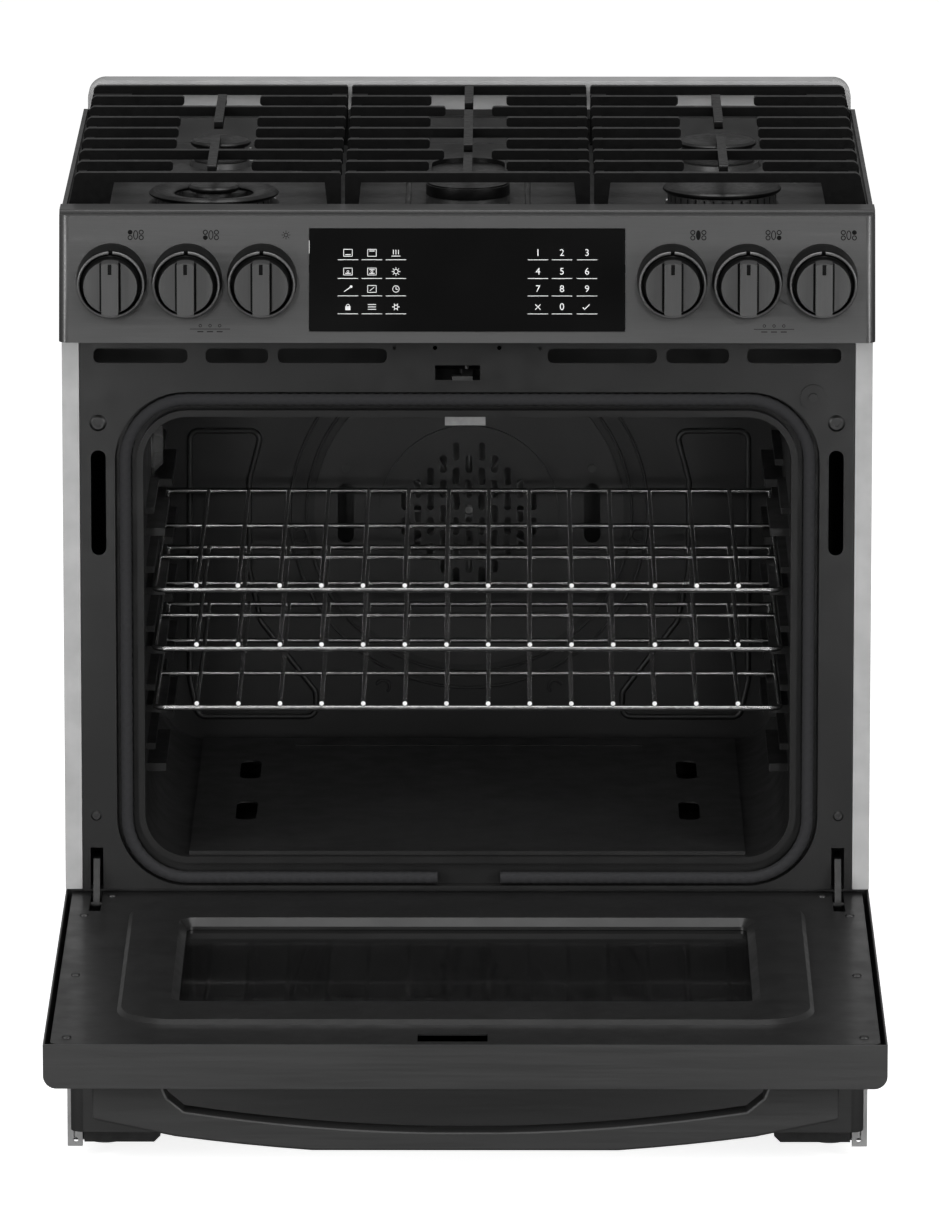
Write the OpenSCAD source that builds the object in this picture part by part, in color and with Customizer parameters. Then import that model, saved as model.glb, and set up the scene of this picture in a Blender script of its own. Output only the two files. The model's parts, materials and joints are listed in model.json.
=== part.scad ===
// Freestanding 30 inch gas range: five burners under three grates, six front knobs, a convection
// oven with three racks and a drop-down door, and a drawer under the oven.
// Millimetres. X is the width, the front faces -Y, Z is up. The origin is on the floor, at the middle
// of the width, below the front face of the oven frame. The door is drawn closed and then opened.

/* [Body] */
// Width over the cooktop and the control panel
range_w = 759; // [752:1:762]
// Depth of the body behind the oven frame
body_d = 638; // [630:1:642]
// Height of the cooktop's side edge
edge_z = 905; // [904:1:908]
// Top of the grates
grate_z = 932; // [930:1:936]

/* [Oven] */
// Width of the oven cavity
cavity_w = 606; // [600:1:608]
// Lowest point of the cavity's mouth
cavity_z = 293; // [292:1:296]
// Height of the oven cavity
cavity_h = 422; // [418:1:424]
// Depth of the oven cavity
cavity_d = 520; // [516:1:524]
// Level of the lowest rack
rack_z = 430.3; // [428:0.1:434]
// Spacing of the rack levels
rack_step = 56.7; // [56:0.1:58]

/* [Door] */
// How far the door is open
door_open = 91.2; // [0:0.1:91.2]
// Top edge of the closed door
door_top = 787; // [785:1:789]
// Height of the handle's centre on the closed door
handle_z = 737; // [734:1:740]

/* [Controls] */
// Diameter of a knob at its base
knob_d = 53.6; // [52:0.2:54]
// Distance from the middle to the nearest knob
knob_x = 190.5; // [189:0.5:192]
// Spacing of the knobs
knob_step = 69.9; // [69:0.1:70.5]

/* [Burners] */
// Distance of the side burners from the middle
burner_x = 241; // [238:1:242]
// Front burners' distance behind the oven frame
burner_front = 205; // [202:1:212]
// Rear burners' distance behind the oven frame
burner_rear = 466; // [462:1:468]

/* [Hidden] */
$fn = 48;
sheet = 1.5;
fit = 0.05;
gap = 0.4;
body_w = range_w - 2;
side_x = body_w / 2;
frame_x = side_x - 16.5;
foot_z = 12;
cavity_top = cavity_z + cavity_h;
cavity_mid = cavity_z + cavity_h / 2;
mouth_r = 42;
pivot = [0, -13.4, 249.9];
hinge_x = 348.8;
door_w = body_w - 0.4;
door_low = 226;
door_face = -45;
panel_foot = [-44.9, 793.5];
panel_lean = 13.2;
knob_up = 58.5;
knob_y = panel_foot[0] + knob_up * sin(panel_lean);
knob_z = panel_foot[1] + knob_up * cos(panel_lean);
knob_base = 11;
knob_face = 40;
knob_tip = 53.5;
collar_h = 27.6;
well_z = 875;
boss_z = 880;
ledge_z = 899;
port_z = 894;
trim_top = 932.7;
lamp = [250, 640];
fan_z = 520;
rack_levels = [rack_z, rack_z + rack_step, rack_z + 2 * rack_step];
burner_knobs = [-knob_x - 2 * knob_step, -knob_x - knob_step, knob_x, knob_x + knob_step,
    knob_x + 2 * knob_step];
light_x = -knob_x;
grate_bars = [for (i = [0:8]) 87 + 64 * i];
center_y = 271;
bar_w = 9;
// Where the front and rear legs of the grates start
leg_rows = [grate_bars[0] - bar_w / 2, 582];
supply_x = 352;
tube_z = 838;
manifold = [13.2, 840];
// Middle and lower radius of the raised seat under each round burner
bosses = [[-burner_x, burner_front, 66], [burner_x, burner_front, 58], [-burner_x, burner_rear, 30.5],
    [burner_x, burner_rear, 43.5]];
igniter_spots = [[-burner_x + 52, burner_front + 51], [burner_x - 47, burner_front + 47],
    [-burner_x + 28, burner_rear + 26], [burner_x - 36, burner_rear + 35], [0, center_y + 100]];
slate = [0.20, 0.20, 0.21];
porcelain = [0.09, 0.09, 0.10];
iron = [0.06, 0.06, 0.065];

// ---- shared shapes ----

// A box between two limits on each axis
module block(x, y, z) {
    translate([x[0], y[0], z[0]]) cube([x[1] - x[0], y[1] - y[0], z[1] - z[0]]);
}

// A flat outline with round corners
module rounded_rect(w, h, r) {
    square([w - 2 * r, h], center = true);
    square([w, h - 2 * r], center = true);
    for (x = [-1, 1], y = [-1, 1]) translate([x * (w / 2 - r), y * (h / 2 - r)]) circle(r);
}

// A slot with round ends, long in the second direction
module slot(w, h) {
    square([w, h - w], center = true);
    for (y = [-1, 1]) translate([0, y * (h - w) / 2]) circle(w / 2);
}

// An outline in X and Z, given depth from y0 back to y1
module upright(y0, y1) {
    translate([0, y1, 0]) rotate([90, 0, 0]) linear_extrude(y1 - y0) children();
}

// An outline in Y and Z, given width from x0 to x1
module crosswise(x0, x1) {
    translate([x0, 0, 0]) rotate([90, 0, 90]) linear_extrude(x1 - x0) children();
}

// The same shape on the left and on the right
module both_sides() {
    children();
    mirror([1, 0, 0]) children();
}

module rod_x(x, y, z, r) {
    translate([x[0], y, z]) rotate([0, 90, 0]) cylinder(h = x[1] - x[0], r = r);
}

module rod_y(x, y, z, r) {
    translate([x, y[0], z]) rotate([-90, 0, 0]) cylinder(h = y[1] - y[0], r = r);
}

module rod_z(x, y, z, r) {
    translate([x, y, z[0]]) cylinder(h = z[1] - z[0], r = r);
}

// A quarter bend in a level bar: centre, starting angle, radius of the bend and of the bar
module bend(centre, angle, r, bar) {
    translate(centre) rotate(angle) rotate_extrude(angle = 90) translate([r, 0]) circle(bar);
}

// A round bar bent into a rounded rectangle that stands in X and Z
module bar_ring(w, h, r, bar) {
    rotate([90, 0, 0]) for (x = [0, 1], y = [0, 1]) mirror([x, 0, 0]) mirror([0, y, 0]) {
        translate([w / 2 - r, h / 2 - r, 0]) rotate_extrude(angle = 90) translate([r, 0]) circle(bar);
        translate([w / 2, 0, 0]) rotate([-90, 0, 0]) cylinder(h = h / 2 - r, r = bar);
        translate([0, h / 2, 0]) rotate([0, 90, 0]) cylinder(h = w / 2 - r, r = bar);
    }
}

// A plate whose outline draws in by the bevel from its base to its top
module beveled_plate(w, h, r, t, bevel) {
    for (x = [-1, 1], y = [-1, 1])
        translate([x * (w / 2 - r), y * (h / 2 - r), 0]) cylinder(h = t, r1 = r, r2 = r - bevel);
    rotate([90, 0, 0]) translate([0, 0, r - h / 2]) linear_extrude(h - 2 * r)
        polygon([[-w / 2, 0], [w / 2, 0], [w / 2 - bevel, t], [bevel - w / 2, t]]);
    rotate([90, 0, 90]) translate([0, 0, r - w / 2]) linear_extrude(w - 2 * r)
        polygon([[-h / 2, 0], [h / 2, 0], [h / 2 - bevel, t], [bevel - h / 2, t]]);
}

// ---- body ----

module side_panel() {
    color("silver") difference() {
        union() {
            block([-side_x, -side_x + sheet], [0, body_d], [foot_z, edge_z - 12]);
            block([-side_x, -frame_x - 0.5], [0, sheet], [28, 790]);
            block([-side_x, -side_x + 18], [body_d - sheet, body_d], [foot_z, edge_z - 12]);
            block([-side_x, -side_x + 26], [24, body_d], [foot_z, foot_z + sheet]);
            block([-side_x, -side_x + 14.5], [0, 3], [foot_z, 28]);
        }
        block([-side_x - 5, -frame_x + 5], [-5, 13.4], [208, 262]);
        rod_y(-side_x + 8, [-5, 8], 18, 2.2);
    }
}

module side_panel_left() {
    side_panel();
}

module side_panel_right() {
    mirror([1, 0, 0]) side_panel();
}

module back_panel() {
    color("gainsboro") difference() {
        block([-side_x + 2, side_x - 2], [body_d + 0.3, body_d + 1.5], [foot_z + 2, edge_z - 12]);
        for (x = [-240:40:240]) upright(body_d - 5, body_d + 5) translate([x, 780]) slot(8, 46);
        for (x = [-80:40:80]) upright(body_d - 5, body_d + 5) translate([x, 330]) slot(8, 60);
        rod_y(-230, [body_d - 5, body_d + 5], 70, 32);
        rod_y(190, [body_d - 5, body_d + 5], 110, 14.2);
    }
}

module base_frame() {
    rear_member = body_d - 75;
    color("dimgray") {
        difference() {
            union() {
                both_sides() {
                    block([-side_x + 3, -side_x + 5], [24, rear_member - 1], [foot_z + 2, 44]);
                    block([-side_x + 3, -side_x + 56], [24, rear_member - 1], [34, 36]);
                    block([-side_x + 54, -side_x + 56], [24, rear_member - 1], [foot_z + 2, 36]);
                }
                block([-side_x + 3, side_x - 3], [body_d - 14, body_d - 12], [foot_z + 2, 44]);
                block([-side_x + 3, side_x - 3], [rear_member, body_d - 12], [34, 36]);
            }
            for (x = [-1, 1], y = [75, 575]) rod_z(x * 345, y, [0, 60], 4.1);
        }
        both_sides() {
            block([-side_x + 1.8, -side_x + 18], [18, 40], [36 + gap, 205]);
            drawer_rail();
            front_foot_cover();
        }
    }
}

// The fixed half of a drawer slide, a channel that opens towards the drawer
module drawer_rail() {
    difference() {
        block([-359, -349], [20, 560], [104, 126]);
        block([-357, -340], [15, 565], [107, 123]);
    }
    for (y = [60, 500]) block([-side_x + 1.8, -358], [y, y + 30], [108, 122]);
}

// The black cover in front of a leg, chamfered at its inner end
module front_foot_cover() {
    upright(-15, 42) polygon([[-362, 20], [-296, 20], [-290, 26], [-290, 33.5], [-362, 33.5]]);
}

module leveling_legs() {
    color("silver") for (x = [-345, 345], y = [75, 575]) {
        rod_z(x, y, [3, 44], 4);
        rod_z(x, y, [0, 5], 16);
        translate([x, y, 5]) cylinder(h = 6, r = 9, $fn = 6);
    }
}

// Front view of the rear trim, rounded at its upper corners
module trim_outline(inset) {
    w = 375.5 - inset;
    r = 17 - inset;
    low = edge_z - 11;
    translate([-w, low]) square([2 * w, trim_top - inset - r - low]);
    translate([r - w, low]) square([2 * (w - r), trim_top - inset - low]);
    for (x = [r - w, w - r]) translate([x, trim_top - inset - r]) circle(r);
}

module rear_trim() {
    color("lightgray") difference() {
        upright(622, 650) trim_outline(0);
        upright(622 + sheet, 650 - sheet) trim_outline(sheet);
    }
}

module power_inlet() {
    color("dimgray") difference() {
        union() {
            rod_y(190, [body_d - 22, body_d + 8], 110, 14);
            rod_y(190, [body_d + 2, body_d + 6], 110, 20);
            block([168, 212], [body_d - 26, body_d - 4], [88, 132]);
        }
        rod_y(190, [body_d - 30, body_d + 12], 110, 8);
    }
}

// ---- cooktop ----

// The room over a well whose four walls lean outwards: half width, front and rear at its low end
module well_room(side, front, rear, low, high) {
    run = (high - low) / 4;
    intersection() {
        upright(front - run - 9, rear + run + 9)
            polygon([[-side, low], [side, low], [side + run, high], [-side - run, high]]);
        crosswise(-side - run - 9, side + run + 9)
            polygon([[front, low], [rear, low], [rear + run, high], [front - run, high]]);
    }
}

// The pressed top: front roll, ledge all round and the sunken well
module cooktop_pan() {
    difference() {
        union() {
            block([-range_w / 2, range_w / 2], [-6, 621], [edge_z - 11, edge_z]);
            block([-range_w / 2, range_w / 2], [-6, 30], [edge_z - 11, 910]);
            rod_x([-range_w / 2, range_w / 2], -3, 909, 3);
            rod_x([-range_w / 2, range_w / 2], 27, 909, 3);
            block([-range_w / 2, range_w / 2], [-3, 27], [905, 912]);
            block([-364, 364], [32, 612], [well_z - 2, edge_z - 5]);
        }
        block([-375.5, 375.5], [32, 616], [ledge_z, 950]);
        well_room(346, 54, 594, well_z, 950);
        difference() {
            block([-range_w / 2 + 2, range_w / 2 - 2], [-4, 619], [850, ledge_z - 2]);
            well_room(347.5, 52.5, 595.5, well_z - 2, 960);
            block([-373, 373], [-10, 32], [895, 960]);
        }
        block([-372, 372], [-3, 27], [850, 908]);
    }
}

module cooktop() {
    color(slate) difference() {
        union() {
            cooktop_pan();
            for (b = bosses) translate([b[0], b[1], well_z - 1])
                cylinder(h = boss_z - well_z + 1, r1 = b[2], r2 = b[2] - 3);
        }
        for (b = bosses) {
            translate([b[0], b[1], well_z - 3]) cylinder(h = 6, r1 = b[2] - 1, r2 = b[2] - 4.5);
            rod_z(b[0], b[1], [850, 890], 20);
        }
        for (y = [center_y - 60, center_y + 60]) rod_z(0, y, [850, 890], 20);
        for (p = igniter_spots) rod_z(p[0], p[1], [850, 890], 4);
    }
}

// One round burner on its boss: throat, base flange and a head with flame ports round its rim
module burner_head(r, flange, top, ports) {
    difference() {
        union() {
            rod_z(0, 0, [846, boss_z + 1], 17);
            rod_z(0, 0, [boss_z + gap, boss_z + 3], flange);
            rod_z(0, 0, [boss_z + 2, top], r);
        }
        rod_z(0, 0, [840, boss_z + 2], 9);
        for (i = [0:ports - 1]) rotate(i * 360 / ports)
            block([r - 4, r + 1], [-0.8, 0.8], [top - 8, top - 1.5]);
    }
}

// The double burner: an outer ring of flames and a small burner raised in its middle
module double_head() {
    top = port_z - 4;
    difference() {
        burner_head(55, 62, top, 36);
        rod_z(0, 0, [top - 6, top + 1], 38);
    }
    rod_z(0, 0, [top - 7, port_z + 0.3], 17);
    for (a = [45:90:315]) rotate(a) block([10, 42], [-6, 6], [top - 7, top - 0.2]);
}

// The long burner in the middle, fed by two throats
module oval_head() {
    for (y = [-60, 60]) difference() {
        rod_z(0, y, [846, well_z + 1], 17);
        rod_z(0, y, [840, well_z + 2], 9);
    }
    difference() {
        union() {
            translate([0, 0, well_z + gap]) linear_extrude(3) slot(80, 181);
            translate([0, 0, well_z + 2]) linear_extrude(11.6) slot(75, 176);
        }
        for (y = [-48:8:48], s = [-1, 1])
            block([s * 36 - 3, s * 36 + 3], [y - 0.8, y + 0.8], [well_z + 5, well_z + 11.5]);
    }
}

module burner_heads() {
    color("silver") {
        translate([-burner_x, burner_front, 0]) double_head();
        translate([burner_x, burner_front, 0]) burner_head(51.6, 53.6, port_z, 36);
        translate([-burner_x, burner_rear, 0]) burner_head(23.7, 25.7, port_z, 20);
        translate([burner_x, burner_rear, 0]) burner_head(34, 36, port_z, 24);
        translate([0, center_y, 0]) oval_head();
    }
}

// A domed disc cap
module cap(r, z) {
    rotate_extrude() polygon([[0, z], [r - 2, z], [r, z + 2], [r, z + 4], [r - 2.5, z + 6], [0, z + 7]]);
}

module burner_caps() {
    rest = port_z + 0.3;
    color(iron) {
        translate([-burner_x, burner_front, 0]) {
            rotate_extrude() polygon([[37.6, rest - 4], [59.4, rest - 4], [61.5, rest - 2.2],
                [61.5, rest - 1], [58, rest + 1.6], [54, rest + 1.6], [40, rest - 1],
                [37.6, rest - 2.2]]);
            cap(24.5, rest + 0.3);
        }
        translate([burner_x, burner_front, 0]) cap(56.1, rest);
        translate([-burner_x, burner_rear, 0]) cap(29, rest);
        translate([burner_x, burner_rear, 0]) cap(38, rest);
        translate([0, center_y, well_z + 13.8]) difference() {
            union() {
                linear_extrude(10.4) slot(79.5, 180.5);
                linear_extrude(12) slot(77, 178);
            }
            translate([0, 0, 7.5]) linear_extrude(9) slot(70, 171);
        }
    }
}

// A spark electrode in its ceramic sleeve
module igniter(x, y) {
    rod_z(x, y, [860, 884], 3.4);
    rod_z(x, y, [883, 888], 1.2);
    rod_z(x, y, [well_z + gap, well_z + 3], 5.5);
}

module igniters() {
    color("white") for (p = igniter_spots) igniter(p[0], p[1]);
}

// Front view of a bar's end, with a rounded shoulder of radius r at 0 and a depth over the rail
module shoulder_face(r, deep) {
    translate([r, -r]) circle(r);
    polygon([[0, -r], [0, -deep], [34, -deep], [38, -bar_w], [38, 0], [r, 0], [r, -r]]);
}

// Side view of a plain bar that ends in a round tip at reach
module tip_face(reach) {
    translate([0, -bar_w]) square([reach - 3, bar_w]);
    translate([reach - 4, 3 - bar_w]) square([4, bar_w - 6]);
    for (z = [-3, 3 - bar_w]) translate([reach - 3, z]) circle(3);
}

// Gives a front view its thickness as one bar of the grate
module as_bar(i) {
    upright(grate_bars[i] - bar_w / 2, grate_bars[i] + bar_w / 2) translate([0, grate_z]) children();
}

// Bars that cross the whole grate from its side at 0
module whole_bars(rows, width, r0, r1) {
    for (i = rows) as_bar(i) {
        deep = i == 0 ? bar_w : 13;
        shoulder_face(r0, deep);
        translate([width, 0]) mirror([1, 0]) shoulder_face(r1, deep);
        translate([30, -bar_w]) square([width - 60, bar_w]);
    }
}

// Bars that start at the grate's side at 0 and stop short of a burner
module short_bars(rows, reach, r) {
    for (i = rows) as_bar(i) {
        shoulder_face(r, 13);
        translate([30, 0]) tip_face(reach - 30);
    }
}

// A finger that runs from the bar at root to its own tip, front to back
module grate_finger(x, root, tip) {
    translate([x, root, grate_z]) rotate(tip > root ? 0 : 180)
        crosswise(-4.25, 4.25) tip_face(abs(tip - root));
}

// The rails under the bars at both ends of a grate
module grate_rails(x0, x1) {
    for (x = [x0 + 2, x1 - 10])
        block([x, x + 8], [leg_rows[0], grate_bars[8] + bar_w / 2], [grate_z - 17, grate_z - 8.5]);
}

// Legs at the grate's side at 0: a foot between two places on a floor, and a wider top
module grate_legs(floor_z, foot, top) {
    for (y = leg_rows) upright(y, y + bar_w) polygon([[foot[0], floor_z + gap], [foot[1], floor_z + gap],
        [top, grate_z - 7], [0, grate_z - 7]]);
}

module grate_side() {
    w = 250.3;
    color(iron) {
        translate([-369, 0, 0]) {
            whole_bars([0, 2, 6, 8], w, 6.5, 2.5);
            short_bars([1, 3, 4, 5, 7], 91, 6.5);
            grate_rails(0, w);
            grate_legs(ledge_z, [-5.5, 33], 38);
            translate([w, 0, 0]) mirror([1, 0, 0]) {
                short_bars([1, 3, 4, 5, 7], 85.3, 2.5);
                grate_legs(well_z, [0, 10], 15.5);
            }
        }
        for (f = [[215, 129], [215, 299], [471, 387], [471, 547]]) grate_finger(-burner_x, f[0], f[1]);
    }
}

module grate_left() {
    grate_side();
}

module grate_right() {
    mirror([1, 0, 0]) grate_side();
}

module grate_center() {
    color(iron) {
        translate([-115, 0, 0]) {
            whole_bars([0, 4, 8], 230, 2.5, 2.5);
            grate_rails(0, 230);
        }
        both_sides() translate([-115, 0, 0]) {
            short_bars([2, 6], 92.5, 2.5);
            short_bars([1, 3, 5, 7], 78.5, 2.5);
            grate_legs(well_z, [0, 10], 15.5);
        }
        for (f = [[87, 190], [343, 252], [343, 455], [599, 502]]) grate_finger(0, f[0], f[1]);
    }
}

// ---- controls ----

// Places a shape on the leaning panel: X along it, Z up its face, -Y out of it
module on_panel() {
    translate([0, panel_foot[0], panel_foot[1]]) rotate([-panel_lean, 0, 0]) children();
}

// A shape of revolution about a knob's level axis; its Z runs forwards from the panel's face
module at_knob(x) {
    translate([x, knob_y, knob_z]) rotate([90, 0, 0]) children();
}

// Side view of the panel shell
module panel_outline() {
    polygon([panel_foot, [-2, panel_foot[1]], [-2, 892], [-8, 892], [-8, 908.5], [-18, 908.5]]);
}

// Side view of the room inside the shell, which is open towards the oven
module panel_room() {
    polygon([panel_foot + [2, sheet], [10, panel_foot[1] + sheet], [10, 890.5], [-9.5, 890.5],
        [-9.5, 907], [-16.8, 907]]);
}

module control_panel() {
    color(slate) difference() {
        intersection() {
            crosswise(-range_w / 2, range_w / 2) panel_outline();
            on_panel() translate([0, 0, -40]) linear_extrude(220) panel_ends(0);
        }
        intersection() {
            crosswise(-range_w / 2 + sheet, range_w / 2 - sheet) panel_room();
            on_panel() translate([0, 0, -40]) linear_extrude(220) panel_ends(sheet);
        }
        on_panel() block([-146.9, 146.9], [-5, 5], [10.4, 106.7]);
        for (x = concat(burner_knobs, [light_x]))
            at_knob(x) translate([0, 0, -7]) cylinder(h = 14, r = 5);
    }
}

// Plan of the leaning panel in its own frame, round at the front corners
module panel_ends(inset) {
    w = range_w - 2 * inset;
    r = 9 - inset;
    translate([-w / 2, r + inset]) square([w, 80]);
    translate([-w / 2 + r, inset]) square([w - 2 * r, 20]);
    for (x = [-1, 1]) translate([x * (w / 2 - r), r + inset]) circle(r);
}

module display_glass() {
    color("black") on_panel() translate([0, 2.5, 58.55]) rotate([90, 0, 0])
        linear_extrude(3.3) rounded_rect(293, 95.5, 2);
}

module control_board() {
    color("green") {
        on_panel() {
            block([-135, 135], [8, 9.6], [22, 96]);
            block([-60, 60], [4, 8], [40, 84]);
            for (x = [-120, 84]) block([x, x + 30], [9.6, 22], [34, 60]);
        }
        at_knob(light_x) {
            translate([0, 0, -26]) cylinder(h = 20, r = 12);
            translate([0, 0, -7]) cylinder(h = 33, r = 3);
        }
    }
}

// The fixed collars round the knobs, cut off at the leaning face of the panel
module knob_bezels() {
    color("dimgray") for (x = concat(burner_knobs, [light_x])) difference() {
        at_knob(x) difference() {
            translate([0, 0, -10]) cylinder(h = collar_h + 10, r1 = 33.4, r2 = 31.6);
            translate([0, 0, -11]) cylinder(h = collar_h + 12, r = knob_d / 2 + 1.8);
            translate([-1.6, 27, collar_h - 4]) cube([3.2, 6, 5]);
        }
        on_panel() block([x - 40, x + 40], [0, 60], [5, 112]);
    }
}

// A knob: drum with a tapered shoulder, grip bar with an index slot, and a bore for the shaft
module knob(x) {
    r = knob_d / 2;
    color("dimgray") at_knob(x) difference() {
        union() {
            translate([0, 0, knob_base]) cylinder(h = collar_h - knob_base, r = r);
            translate([0, 0, collar_h]) cylinder(h = knob_face - collar_h, r1 = r, r2 = r - 2);
            intersection() {
                translate([-7.8, -r, knob_base + 1]) cube([15.6, 2 * r, knob_tip - knob_base - 1]);
                translate([0, 0, knob_base + 1])
                    cylinder(h = knob_tip - knob_base - 1, r1 = r - 0.2, r2 = r - 2.2);
            }
        }
        difference() {
            translate([0, 0, knob_base - 1]) cylinder(h = knob_face - knob_base - 2, r = r - 3.5);
            translate([0, 0, knob_base]) cylinder(h = knob_face - knob_base, r = 7);
        }
        translate([0, 0, knob_base - 1]) cylinder(h = 18, r = 3 + fit);
        translate([-1.8, r - 13, knob_tip - 0.8]) cube([3.6, 14, 3]);
    }
}

// The stem that a burner knob turns on; it is pushed in to unlock the valve
module stem(x) {
    color("goldenrod") at_knob(x) translate([0, 0, -24]) cylinder(h = 50, r = 3);
}

module gas_manifold() {
    color("silver") {
        rod_x([-supply_x - 9, 345], manifold[0], manifold[1], 9);
        for (x = burner_knobs) rod_y(x, [4, manifold[0]], manifold[1], 5);
        rod_y(-supply_x, [13, 590], tube_z, 6);
        rod_z(-supply_x, 590, [110, tube_z + 8], 7);
        both_sides() {
            rod_y(-205, [14, burner_rear + 5], tube_z, 4);
            rod_x([-burner_x, -205], burner_rear, tube_z, 3.5);
            rod_y(-264, [14, burner_front + 5], tube_z, 4);
            rod_x([-264, -burner_x], burner_front, tube_z, 3.5);
        }
        rod_y(0, [14, center_y + 60], tube_z, 4);
        for (x = [-1, 1], y = [burner_front, burner_rear])
            rod_z(x * burner_x, y, [tube_z - 6, 845.6], 7);
        for (y = [-60, 60]) rod_z(0, center_y + y, [tube_z - 6, 845.6], 7);
    }
}

module burner_valves() {
    color("goldenrod") for (x = burner_knobs) at_knob(x) difference() {
        union() {
            translate([-13, -15, knob_y - 4]) cube([26, 30, -10 - (knob_y - 4)]);
            translate([0, 0, -10]) cylinder(h = 3, r = 8);
        }
        translate([0, 0, -30]) cylinder(h = 30, r = 3 + fit);
    }
}

module gas_regulator() {
    color("silver") {
        block([-262, -198], [560, 604], [44, 92]);
        rod_z(-230, 582, [92, 112], 24);
        rod_y(-230, [603, 620], 70, 15);
        rod_y(-230, [619, 650], 70, 10.6);
        rod_x([-supply_x, -262], 590, 80, 6);
        rod_z(-supply_x, 590, [80, 109.6], 6);
    }
}

// ---- oven ----

module front_frame() {
    vents = [[-305, 88], [-215, 58.5], [-126, 102]];
    color(porcelain) {
        difference() {
            union() {
                block([-frame_x, frame_x], [0, sheet], [262, 792]);
                both_sides() block([-frame_x, -frame_x + sheet], [0, 12], [262, 792]);
                upright(0, 12) translate([0, (264.5 + 740) / 2]) rounded_rect(662, 479, 68);
                rod_y(323, [-2, 12], 734, 12);
            }
            upright(-5, 20) translate([0, (265.2 + 738.5) / 2]) rounded_rect(659, 473.3, 66.5);
            both_sides() {
                for (v = vents) upright(-5, 5) translate([v[0], 773]) rounded_rect(v[1], 13.9, 5.5);
                rod_y(-30, [-5, 5], 780.5, 2);
                rod_y(-68, [-5, 5], 780.5, 1.6);
                upright(-5, 5) translate([-345, 633]) slot(14, 100);
                upright(-5, 20) translate([-hinge_x, 280]) square([12, 44], center = true);
            }
            block([-30, 12], [-5, 5], [750, 764]);
            rod_y(323, [-10, 20], 734, 4 + fit);
        }
        block([-frame_x, frame_x], [14, 15.5], [206, 262.5]);
        difference() {
            block([-frame_x, frame_x], [1.4, 15.5], [262, 263.5]);
            both_sides() block([-hinge_x - 6, -hinge_x + 6], [0, 13], [258, 302]);
        }
        both_sides() {
            block([-frame_x + 2, -48], [1.4, 42], [757, 758.5]);
            block([-frame_x + 2, -48], [40.5, 42], [757, 790]);
        }
        block([-15, 15], [1.4, 26], [747, 749.5]);
        rod_z(0, 18, [747, 764], 3);
    }
}

module oven_liner() {
    w = cavity_w;
    h = cavity_h;
    color(porcelain) difference() {
        union() {
            upright(0, 12) translate([0, cavity_mid]) rounded_rect(w + 12, h + 12, mouth_r + 6);
            upright(12, 13.5) translate([0, (264 + 746) / 2]) rounded_rect(676, 482, 72);
            upright(12, cavity_d + sheet) translate([0, cavity_mid])
                rounded_rect(w + 3, h + 3, mouth_r + sheet);
            block([-255, 255], [30, 506], [cavity_z - 34, cavity_z + 4]);
            rod_y(0, [cavity_d, 566], fan_z, 146);
        }
        difference() {
            upright(-5, cavity_d) translate([0, cavity_mid]) rounded_rect(w, h, mouth_r);
            both_sides() for (z = concat([rack_z - rack_step], rack_levels, [rack_z + 3 * rack_step]))
                for (y = [60, 300]) {
                    block([-w / 2 - 5, -w / 2 + 18], [y, y + 150], [z - 11, z - 3.6]);
                    block([-w / 2 - 5, -w / 2 + 8], [y, y + 150], [z + 10, z + 16]);
                }
        }
        block([-253.5, 253.5], [31.5, 504.5], [cavity_z - 32.5, cavity_z + 10]);
        rod_y(0, [cavity_d - 5, 564.5], fan_z, 144.5);
        rod_y(0, [550, 580], fan_z, 8);
        rod_x([-w / 2 - 5, -w / 2 + 2], lamp[0], lamp[1], 15);
    }
}

module oven_floor() {
    color(porcelain) difference() {
        union() {
            block([-262, 262], [8, 512], [cavity_z + 0.3, cavity_z + 1.8]);
            block([-262, 262], [8, 26], [cavity_z + 0.3, cavity_z + 4]);
        }
        both_sides() for (y = [150, 330]) translate([-212, y + 40, cavity_z - 5])
            linear_extrude(20) slot(20, 80);
        block([-170, 170], [60, 480], [cavity_z + 1.2, cavity_z + 10]);
    }
}

module fan_cover() {
    color(porcelain) difference() {
        union() {
            rod_y(0, [cavity_d - 3, cavity_d - 1.5], fan_z, 152);
            rod_y(0, [cavity_d - 6, cavity_d - 2], fan_z, 88);
        }
        rod_y(0, [cavity_d - 4.5, cavity_d], fan_z, 86.5);
        for (i = [-5:5], j = [-3:3]) {
            x = i * 12.6;
            z = j * 25 + (i % 2 == 0 ? 0 : 12.5);
            if (x * x + z * z < 66 * 66)
                upright(cavity_d - 10, cavity_d) translate([x, fan_z + z]) slot(7, 18);
        }
        both_sides() upright(cavity_d - 10, cavity_d + 2) translate([-121, fan_z]) slot(16, 60);
    }
}

module fan_motor() {
    color("silver") {
        rod_y(0, [568, 606], fan_z, 38);
        rod_y(0, [534, 569], fan_z, 4);
        block([-60, 60], [566.3, 568], [fan_z - 14, fan_z + 14]);
    }
}

module convection_fan() {
    color("silver") difference() {
        union() {
            rod_y(0, [530, 548], fan_z, 11);
            rod_y(0, [546, 547.5], fan_z, 74);
            for (a = [0:30:330]) translate([0, 0, fan_z]) rotate([0, a, 0])
                block([30, 74], [528, 546.5], [-0.8, 0.8]);
        }
        rod_y(0, [520, 560], fan_z, 4 + fit);
    }
}

module bake_burner() {
    color("silver") {
        for (x = [-90, 90]) rod_y(x, [70, 440], 276, 9);
        bend([70, 440, 276], 0, 20, 9);
        bend([-70, 440, 276], 90, 20, 9);
        rod_x([-70, 70], 460, 276, 9);
        rod_y(0, [460, 503.5], 276, 8);
        block([-12, 12], [250, 262], [cavity_z - 32.5, 270]);
        both_sides() block([-102, -98], [250, 262], [cavity_z - 32.5, 276]);
    }
}

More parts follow.
